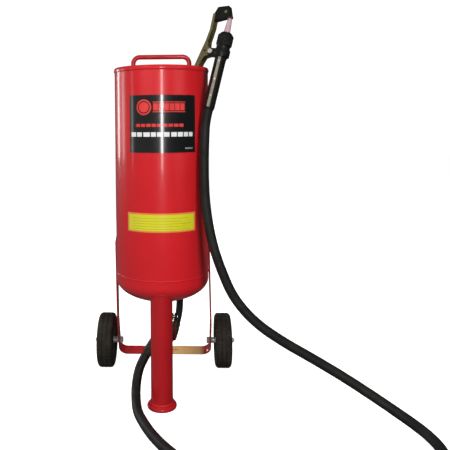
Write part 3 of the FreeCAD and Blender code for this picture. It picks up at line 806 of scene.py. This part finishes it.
def on_tank_disc(radius, angle, height, lift, steps=48):
    """A round film on the tank, curved with it."""
    rings = []
    layers = [(TANK_R + UNDER_INK, radius)] + [(TANK_R + lift, radius * k / 8) for k in range(8, 0, -1)]
    layers.append((TANK_R + lift, radius * 0.01))
    for r, reach in layers:
        ring = []
        for k in range(steps):
            turn = math.radians(angle) + reach * math.cos(FULL * k / steps) / TANK_R
            z = height + reach * math.sin(FULL * k / steps)
            ring.append(polar(r, turn - math.pi / 2, z))
        rings.append(ring)
    return skin(rings, caps=True)


def make_black_label_print():
    """A plain badge, a barred block and two rows of blocks."""
    badge = (-18.5, 867.0)
    red = [on_tank_disc(22.0, *badge, INK)]
    for low in (853, 880):
        red.append(on_tank(-8, 30.5, low, low + 2.5, INK))
    for k in range(6):
        red.append(on_tank(-7.5 + 6.3 * k, -2.0 + 6.3 * k, 858, 877.5, INK, 6))
    for k in range(9):
        red.append(on_tank(-28.5 + 6.4 * k, -23.3 + 6.4 * k, 812.5, 821, INK, 6))
    piece("label_red_print", merge(*red), "label_red")
    piece("label_badge_ring", on_tank_disc(17.5, *badge, INK + 0.12), "label_black")
    piece("label_badge_core", on_tank_disc(14.5, *badge, INK + 0.24), "label_red")
    white = []
    edges = (-35.0, -28.5, -27.2, -21.0, -19.2, -11.5, -10.2, -4.5, -3.2, 3.5, 4.8, 11.0, 13.0, 19.5, 20.8,
             27.0, 28.3, 34.0, 35.3, 40.5)
    for left, right in zip(edges[0::2], edges[1::2]):
        white.append(on_tank(left, right, 785, 797.5, INK, 10))
    piece("label_white_print", merge(*white), "label_white")
    piece("label_grey_print", on_tank(30.0, 40.5, 750, 754, INK, 8), "label_grey")


def make_yellow_label_print():
    """A border, and ruled lines in place of the small print."""
    left, right = -42.0, 44.0
    low, high = 516.0, 570.0
    across = 2.2
    upright = 4.5
    border = [on_tank(left, right, low, low + upright, INK), on_tank(left, right, high - upright, high, INK),
              on_tank(left, left + across, low + upright, high - upright, INK, 3),
              on_tank(right - across, right, low + upright, high - upright, INK, 3)]
    piece("label_amber_border", merge(*border), "label_amber")
    lines = []
    for k, line_end in enumerate((36, 30, 37, 24, 34)):
        line_low = 524.5 + 7.6 * k
        lines.append(on_tank(-34, line_end, line_low, line_low + 1.2, INK))
    piece("label_fine_lines", merge(*lines), "label_line")


# ---- wheel frame and wheels --------------
def make_frame_welds():
    """A bead round each strap end, where the bar lies on the tank's side."""
    top = Vector((0, 8, 470))
    top_out = 144.0
    half = 17.5
    length = 331.0
    sunk = 4.4
    down = (Vector((0, AXLE_Y, AXLE_Z)) - top).normalized()
    across = down.cross(X)
    beads = []
    for side in (1, -1):
        line = []
        for along, over in ((52, -half), (26, -half), (0, -half), (0, 0), (0, half), (26, half), (52, half)):
            point = top + down * along + across * over
            bar = top_out + (STRAP_OUT - top_out) * along / length - sunk
            x = max(math.sqrt(TANK_R ** 2 - point.y ** 2), bar)
            line.append(Vector((side * x, point.y, point.z)))
        beads.append(even_weld(line, 2.8))
    # The strap welds take the worn enamel, darkened as painted shade.
    bead_piece("strap_welds", merge(*beads), "red_worn_painted_shade")


def tyre_outline():
    """Half of a tyre's section, from the bead to the middle of the tread."""
    r = TYRE_R
    w = TYRE_HALF
    wall = [(HUB_R, 0.0), (HUB_R, w - 5.5), (54.5, w - 3.4), (58.5, w - 2.6), (61.0, w - 1.2),
            (66.0, w - 0.5), (70.0, w), (73.0, w), (73.6, w - 0.5), (74.6, w - 0.5), (75.2, w - 0.1)]
    shoulder = [(r - 9.0, w - 0.8), (r - 4.5, w - 3.0), (r - 1.6, w - 6.2), (r - 0.5, w - 9.5), (r, w - 12.5)]
    groove = [(r, 8.3), (r - 0.5, 7.9), (r - 2.0, 7.5), (r - 2.0, 6.3), (r - 0.5, 5.9), (r, 5.5)]
    return wall + shoulder + groove + [(r, 0.0)]


def make_tyre():
    """A tyre with a row of lugs along each shoulder."""
    half = tyre_outline()
    outline = half + [(r, -z) for r, z in half[::-1][1:-1]]
    lugs = 44
    lug_end = 0.54
    samples = (0.0, 0.06, 0.12, 0.48, lug_end, 0.60, 0.80)
    cut_from = 10.0
    cut_depth = 1.5
    rings = []
    for lug in range(lugs):
        for share in samples:
            angle = FULL * (lug + share) / lugs
            ring = []
            for r, z in outline:
                if share >= lug_end and abs(z) > cut_from and r > TYRE_R - 8.0:
                    r -= cut_depth * min(1.0, (abs(z) - cut_from) / 3.0)
                ring.append(polar(r, angle, z))
            rings.append(ring)
    return skin(rings, loop=True)


def make_hub():
    """A moulded hub: boss, web and rim, the same on both faces, with ribs through the web."""
    low = [(9, -21), (16, -21), (17, -20), (18.5, -9), (43, -6.5), (45.5, -9), (46, -20), (51, -20.6),
           (HUB_R, -20)]
    outline = low + [(r, -z) for r, z in low[::-1]]
    parts = [lathe(soften(outline, 1.0, 2), 96)]
    rib_low = [(16.5, -17.5), (21, -16.8), (45.8, -12.0)]
    rib = rib_low + [(r, -z) for r, z in rib_low[::-1]]
    ribs = 8
    thick = 2.6
    upright = Matrix.Rotation(math.pi / 2, 4, "X")
    for k in range(ribs):
        turn = Matrix.Rotation(FULL * k / ribs, 4, "Z") @ upright @ shift(z=-thick / 2)
        parts.append((plate(rib, thick, 0.5), turn))
    return merge(*parts)


def make_wheels():
    """Both wheels: tyre and hub, each on its wheel's body."""
    for side, sign in (("right", 1), ("left", -1)):
        where = place((sign * WHEEL_X, AXLE_Y, AXLE_Z), X * sign, Y)
        piece(side + "_tyre_tread", make_tyre(), "tyre", side + "_wheel", where, [side + "_tyre"], 32)
        piece(side + "_ribbed_hub", make_hub(), "hub", side + "_wheel", where, [side + "_hub"], 35)


def make_axle_hardware():
    """Bolt heads, shanks with a threaded end, and lock nuts, both sides in one piece each."""
    bolts = []
    nuts = []
    head = 10.0
    nut_low = 24.0
    nut_high = 36.0
    shank_end = nut_high + 4.0
    for sign in (1, -1):
        where = Matrix.Translation((sign * WHEEL_X, AXLE_Y, AXLE_Z)) @ facing(X * sign, Y)
        bolts.append((hexagon(AXLE_HEX, head), where @ shift(z=STRAP_IN - WHEEL_X - head)))
        shank = [(0, STRAP_IN - WHEEL_X), (AXLE_R, STRAP_IN - WHEEL_X)]
        shank += threads(AXLE_R, 0.55, 1.5, nut_low, shank_end - 0.7)
        shank += [(AXLE_R - 1, shank_end), (0, shank_end)]
        bolts.append((lathe(shank, 40), where))
        bore = AXLE_R - 0.6
        collar_low = nut_high - 3.0
        nuts.append((hexagon(AXLE_HEX, collar_low - nut_low, bore), where @ shift(z=nut_low)))
        collar = [(bore, collar_low), (8.3, collar_low), (7.6, nut_high), (bore, nut_high)]
        nuts.append((lathe(soften(collar, 0.5), 40), where))
    piece("axle_bolt_set", merge(*bolts), "zinc", replaces=["axle_bolts"])
    piece("lock_nut_set", merge(*nuts), "zinc", replaces=["axle_lock_nuts"])


# ---- hoses -------------------------------
# The blast hose leaves the tee behind the leg, runs forward over the floor, round in front and
# up to the gun. The air hose drops from the rear manifold to the tee's other end.
HOSE_OUT = Vector((-0.54, -0.27, -0.797)).normalized()
TEE_RUN = Vector((-0.75, -0.66, 0)).normalized()
TEE_CENTRE = Vector((0, 0, 158))
HOSE_START = TEE_CENTRE + TEE_RUN * 36 + HOSE_OUT * 38
AIR_OUT = Vector((0.3, 0.3, 0.9)).normalized()
AIR_END = TEE_CENTRE - TEE_RUN * 38 + AIR_OUT * 44
GUN_BASE = Vector((136.5, -86.0, 859.0))
GUN_UP = Vector((0.248, 0.10, 1.0)).normalized()
SAND_ROUTE = [
    (-74, -56, 74.4), (-77.6, -76, 47.5), (-76.4, -104, 28), (-71, -141, 15.2), (-62, -178, 14),
    (-48, -216, 14), (-27, -266, 14), (4, -322, 14), (45, -378, 14), (96, -430, 14), (156, -474, 14),
    (228, -510, 14), (308, -534, 14), (400, -544, 14), (492, -538, 14), (576, -512, 14), (644, -466, 14),
    (686, -398, 14), (700, -326, 14), (688, -260, 18), (644, -208, 37), (579, -174, 73), (504, -154, 117),
    (422, -143, 163), (341, -136, 207), (265, -129, 258), (206, -122, 325), (175, -117, 395),
    (152, -112, 460), (137, -108, 526), (127, -104, 595), (124, -101, 660), (124, -98, 725), (126, -94, 785),
]
AIR_ROUTE = [
    (0, 180, 704), (0, 180, 668), (4, 181.5, 622), (12, 183, 560), (22, 182, 490), (32, 175, 421),
    (42, 158, 361), (50, 132, 317), (54, 98, 285), (52, 68, 256),
]


def spline_line(route):
    """Points along the smooth spline that has a route's points as its control points."""
    data = bpy.data.curves.new("route", "CURVE")
    data.dimensions = "3D"
    data.resolution_u = 20
    spline = data.splines.new("NURBS")
    spline.points.add(len(route) - 1)
    for control, point in zip(spline.points, route):
        control.co = (*(TANK_FRAME @ Vector(point)), 1.0)
    spline.order_u = 3
    spline.use_endpoint_u = True
    obj = add_object("route", data)
    bpy.context.view_layer.update()
    mesh = bpy.data.meshes.new_from_object(obj)
    points = [vertex.co.copy() for vertex in mesh.vertices]
    bpy.data.objects.remove(obj)
    bpy.data.meshes.remove(mesh)
    return points


def hose_mesh(line, radius, lead):
    """A hose in scene metres whose cover carries the low ridge of its wrapping tape."""
    def radius_at(travelled, angle):
        turn = (travelled / lead + angle / FULL) % 1.0
        ridge = min(turn / 0.06, (1 - turn) / 0.94)
        return radius * (1 + 0.010 * ridge)
    return tube(resample(line, 0.0035), radius_at, 32, with_uv=True)


def make_hoses():
    """Both hoses along their routes; the blast hose is the object's one loose cord."""
    route = [HOSE_START, HOSE_START + HOSE_OUT * 30] + SAND_ROUTE + [GUN_BASE - GUN_UP * 34, GUN_BASE]
    line = spline_line(route)
    hose = piece("sand_hose_tube", hose_mesh(line, HOSE_R * MM, HOSE_LEAD), "hose", where=Matrix.Identity(4),
                 replaces=["sand_hose"], sharp=60)
    air = spline_line(AIR_ROUTE + [AIR_END + AIR_OUT * 28, AIR_END])
    piece("air_hose_tube", hose_mesh(air, AIR_HOSE_R * MM, AIR_HOSE_LEAD), "air_hose",
          where=Matrix.Identity(4), replaces=["air_hose"], sharp=60)


# ---- blast gun ---------------------------
GUN_IN = Vector((-GUN_BASE.x, -GUN_BASE.y, 0)).normalized()
GUN_FRAME = place(GUN_BASE, GUN_UP, GUN_IN)
PIVOT = Vector((30, 0, 168))
BODY_R = 16.5
BODY_L = 156.0
CAP_R = 23.0
CAP_TOP = 229.0
NOZZLE_TIP = 271.5
CHEEK_OUT = 15.3
STRIP_ANGLE = 110.0


def gun_piece(name, mesh, finish, replaces=(), body="root", sharp=35):
    """A piece in the gun's own frame."""
    piece(name, mesh, finish, body, GUN_FRAME, replaces, sharp)


def make_gun():
    """Body tube, fluted nozzle cap and ceramic nozzle."""
    r = BODY_R
    lip = r + 1.1
    body = [(6.5, 0), (14.0, 0), (14.8, 1.5), (14.8, 4), (r, 6), (r, 30), (r - 0.6, 31), (r - 0.6, 33),
            (r, 34), (r, BODY_L - 7), (lip, BODY_L - 5), (lip, BODY_L), (6.5, BODY_L)]
    gun_piece("gun_body_tube", lathe(soften(body, 0.8, 2), 72), "black", ["gun_body"])
    grip_low = BODY_L + 36
    grip_high = CAP_TOP - 10

    def fluted(radius, z, angle):
        if grip_low < z < grip_high and radius > 22:
            return radius - 0.9 * max(0.0, math.cos(24 * angle)) ** 2
        return radius
    cap = [(10.4, BODY_L), (20, BODY_L), (20, BODY_L + 32), (22.8, BODY_L + 35.5), (CAP_R, grip_low)]
    cap += [(CAP_R, grip_low + 3 * k) for k in range(1, 9)]
    cap += [(22.8, grip_high), (14.5, CAP_TOP - 0.5), (13, CAP_TOP), (10.4, CAP_TOP)]
    gun_piece("nozzle_cap", lathe(soften(cap, 0.8, 2), 192, fluted), "black", ["nozzle_holder"], sharp=40)
    low = BODY_L + 42
    nozzle = [(3.2, low), (10, low), (10, CAP_TOP), (6.4, NOZZLE_TIP - 0.8), (5.6, NOZZLE_TIP),
              (4.2, NOZZLE_TIP), (3.2, NOZZLE_TIP - 1.5)]
    gun_piece("nozzle_jet", lathe(soften(nozzle, 0.6, 2), 64), "ceramic", ["ceramic_nozzle"])


def make_strip_rivets():
    """Round-headed rivets that hold the long strip to the gun's body."""
    head = lathe(soften([(0, 0), (3.4, 0), (3.4, 0.5), (2.7, 1.5), (1.5, 2.1), (0, 2.3)], 0.4), 32)
    rivets = []
    for height in (41, 89, 142):
        turn = Matrix.Rotation(math.radians(STRIP_ANGLE), 4, "Z") @ shift(BODY_R + 1.9, 0, height)
        rivets.append((head, turn @ Matrix.Rotation(math.pi / 2, 4, "Y")))
    gun_piece("strip_rivets", merge(*rivets), "zinc")


def make_pivot_hardware():
    """The lever's bolt and nut, and its spring of two opposite coils."""
    along = Matrix.Translation(PIVOT) @ facing(Y, X)
    end = CHEEK_OUT + 6.5
    shank = [(0, -CHEEK_OUT), (4, -CHEEK_OUT)]
    shank += threads(4.0, 0.4, 1.25, 8.0, end - 0.8)
    shank += [(3.2, end), (0, end)]
    parts = [(lathe(shank, 32), along), (hexagon(13, 5.5), along @ shift(z=-CHEEK_OUT - 5.5)),
             (hexagon(13, 5.0, 3.6), along @ shift(z=CHEEK_OUT))]
    gun_piece("pivot_bolt_and_nut", merge(*parts), "zinc", ["lever_pivot_bolt"])
    coils = []
    coil_r = 5.2
    wire_r = 0.7
    turns = 2.5
    steps = 60
    for sign in (1, -1):
        line = []
        for k in range(steps + 1):
            angle = FULL * turns * k / steps
            line.append(polar(coil_r, angle, sign * (0.9 + 3.6 * k / steps)))
        coils.append((tube(line, lambda travelled, around: wire_r, 10), along))
    gun_piece("lever_torsion_spring", merge(*coils), "zinc", ["lever_spring"], sharp=60)


def both_sides(outline, x, side_y, z):
    """A small turned head on each side of the lever."""
    head = lathe(soften(outline, 0.4), 32)
    return merge(*[(head, shift(x, side * side_y, z) @ facing(Y * side, X)) for side in (1, -1)])


def make_lever_hardware():
    """Small heads on the lever and its stopper arm."""
    dome = lathe(soften([(0, 0), (4.2, 0), (4.2, 1.5), (3.0, 3.6), (0, 4.2)], 0.6), 32)
    rivet = merge((dome, shift(52.4, 0, 268) @ facing(X, Z)))
    gun_piece("lever_stop_rivet", rivet, "zinc", body="gun_lever")
    plugs = both_sides([(0, 0), (3.3, 0), (3.0, 1.0), (0, 1.3)], 52, 12.0, 169)
    gun_piece("lever_hole_plugs", plugs, "black", body="gun_lever")
    pins = both_sides([(0, 0), (4.6, 0), (4.2, 1.2), (0, 1.7)], 14, 9.5, 289)
    gun_piece("stopper_pin_heads", pins, "olive", body="gun_lever")


# ---- rear manifold -----------------------
GAUGE_Z = MANIFOLD_Z + 82
GAUGE_BACK = MANIFOLD_Y - 14
SWEEP_START = 225.0
SWEEP = 270.0
MINOR_TICKS = 40
NUMBERS = 8


def dial_angle(share):
    """The angle of a share of the scale, clockwise from its start."""
    return math.radians(SWEEP_START - SWEEP * share)


def number_mesh(value):
    """A small raised number."""
    text = bpy.data.curves.new("number", "FONT")
    text.body = str(value)
    text.size = 4.4
    text.align_x = "CENTER"
    text.align_y = "CENTER"
    text.extrude = 0.06
    holder = add_object("number", text)
    bpy.context.view_layer.update()
    mesh = bpy.data.meshes.new_from_object(holder)
    bpy.data.objects.remove(holder)
    return mesh


def make_gauge_face():
    """Ticks and the numbers 0 to 160 on the dial, in a frame that faces backwards."""
    marks = []
    for k in range(MINOR_TICKS + 1):
        major = k % 5 == 0
        inner = 18.5 if major else 20.6
        wide = 0.42 if major else 0.2
        outline = [(inner, -wide), (23.2, -wide), (23.2, wide), (inner, wide)]
        marks.append((plate(outline, 0.12, 0), Matrix.Rotation(dial_angle(k / MINOR_TICKS), 4, "Z")))
    number_r = 14.6
    for k in range(NUMBERS + 1):
        angle = dial_angle(k / NUMBERS)
        marks.append((number_mesh(20 * k), Matrix.Translation(polar(number_r, angle, 0.06))))
    dial = place((0, GAUGE_BACK + 14, GAUGE_Z), Y, -X)
    piece("dial_marks", merge(*marks), "dial_ink", where=dial)


def make_gauge_bezel():
    """The bright ring round the gauge's glass."""
    bezel = [(24.6, 11.0), (27.2, 9.5), (27.6, 11.0), (27.6, 13.2), (26.6, 14.2), (24.6, 14.2), (24.2, 12.6)]
    where = place((0, GAUGE_BACK + 12, GAUGE_Z), Y)
    piece("gauge_bezel", lathe(soften(bezel, 0.6, 2), 96), "zinc", where=where)


def make_sleeves():
    """Vinyl sleeves on the two valve handles, their red darkened as painted shade."""
    sleeves = []
    for w, length in ((8.3, 44.0), (8.1, 38.0)):
        outline = [(-length, -w), (0, -w), (4.4, -w * 0.85), (7.3, -w * 0.5), (8.3, 0), (7.3, w * 0.5),
                   (4.4, w * 0.85), (0, w), (-length, w)]
        sleeves.append(plate(outline, 5.0, 1.4))
    sand_end = place((35, 0, 164), X, -Z)
    air_end = place((57, MANIFOLD_Y + 60, MANIFOLD_Z + 25), Z, Y)
    piece("sand_valve_sleeve", sleeves[0], "sleeve", "sand_valve_trim", sand_end)
    piece("air_valve_sleeve", sleeves[1], "sleeve", "air_valve_trim", air_end)


# ---- stage -------------------------------
def make_stage():
    """The white floor, which neither shows in the enamel nor lights it."""
    half = 14
    corners = [(-half, -half, 0), (half, -half, 0), (half, half, 0), (-half, half, 0)]
    mesh = bpy.data.meshes.new("floor")
    mesh.from_pydata(corners, [], [(0, 1, 2, 3)])
    mesh.materials.append(white_floor())
    floor = add_object("floor", mesh)
    floor.visible_glossy = False
    floor.visible_diffuse = False


def area_light(name, location, target, size, power, mirrored):
    """A rectangle of light aimed at a target."""
    data = bpy.data.lights.new(name, "AREA")
    data.shape = "RECTANGLE"
    data.size, data.size_y = size
    data.energy = power
    light = add_object(name, data)
    light.visible_glossy = mirrored
    light.location = location
    aim = Vector(target) - Vector(location)
    light.rotation_euler = aim.to_track_quat("-Z", "Y").to_euler()


def around_tank(azimuth, distance, height):
    """A point round the tank; azimuth 0 is about towards the camera, positive to its left."""
    camera_side = -94
    heading = math.radians(camera_side - azimuth)
    return (distance * math.cos(heading), TANK_Y + distance * math.sin(heading), height)


# Name, direction and distance from the tank, height, size, power, and if the enamel shows it.
LIGHTS = [
    ("left_strip", 120, 2.4, 0.92, (0.36, 0.74), 6, True),
    ("left_wall", 98, 2.6, 0.90, (0.46, 0.76), 3.6, True),
    ("left_glow", 67, 2.6, 0.90, (0.20, 0.90), 0.9, True),
    ("front_strip", -7, 2.6, 1.05, (0.22, 1.3), 11, True),
    ("front_soft", 28, 2.8, 1.6, (1.6, 1.6), 62, False),
    ("right_soft", -48, 3.0, 1.3, (1.4, 1.6), 54, False),
    ("back_soft", 172, 3.0, 1.3, (1.6, 1.6), 24, False),
]


def make_lights():
    """Four strips that the enamel mirrors, and soft lights that it does not."""
    middle = (0, TANK_Y, 0.6)
    for name, azimuth, distance, height, size, power, mirrored in LIGHTS:
        area_light(name, around_tank(azimuth, distance, height), middle, size, power, mirrored)
    area_light("top_soft", (0.1, -0.5, 2.9), (0, -0.05, 0.5), (2.2, 2.2), 22, False)
    make_world()


def make_world():
    """White behind the object; what it mirrors is a dim room, lighter on the left."""
    world = bpy.data.worlds.new("studio")
    world.use_nodes = True
    nodes = Nodes(world.node_tree)
    seen = nodes.node("Background", {"Color": (1.0, 1.0, 1.0), "Strength": 1.1}).outputs[0]
    direction = nodes.node("TexCoord", {}).outputs["Generated"]
    sideways = nodes.node("SeparateXYZ", {"Vector": direction}).outputs[0]
    mirrored = nodes.node("Background", {"Strength": nodes.remap(sideways, -1.0, 0.8, 0.17, 0.04)}).outputs[0]
    to_camera = nodes.node("LightPath", {}).outputs["Is Camera Ray"]
    both = nodes.node("MixShader", {0: to_camera, 1: mirrored, 2: seen}).outputs[0]
    nodes.put(world.node_tree.nodes["World Output"].inputs["Surface"], both)
    bpy.context.scene.world = world


CAMERA_PLACE = (0.0619, -1.7547, 0.8185)
CAMERA_PITCH = 2.90
CAMERA_YAW = -1.965
CAMERA_ROLL = -0.366
CAMERA_LENS = 44.885
CAMERA_SHIFT = (0.1378, -0.1599)


def make_camera():
    """The photo's view, as fitted to the tank, foot and tyres."""
    data = bpy.data.cameras.new("camera")
    data.sensor_width = 36.0
    data.lens = CAMERA_LENS
    data.shift_x, data.shift_y = CAMERA_SHIFT
    camera = add_object("camera", data)
    camera.location = CAMERA_PLACE
    yaw = Matrix.Rotation(math.radians(-CAMERA_YAW), 3, "Z")
    pitch = Matrix.Rotation(math.radians(90 - CAMERA_PITCH), 3, "X")
    roll = Matrix.Rotation(math.radians(CAMERA_ROLL), 3, "Z")
    camera.rotation_euler = (yaw @ pitch @ roll).to_euler()
    bpy.context.scene.camera = camera
    bpy.context.scene.view_settings.view_transform = "Standard"


make_camera()
make_hoses()
finish_cad_nodes()
make_tank()
make_vessel_welds()
make_fitting_welds()
make_foot()
make_black_label_print()
make_yellow_label_print()
make_frame_welds()
make_wheels()
make_axle_hardware()
make_gun()
make_strip_rivets()
make_pivot_hardware()
make_lever_hardware()
make_gauge_face()
make_gauge_bezel()
make_sleeves()
make_stage()
make_lights()
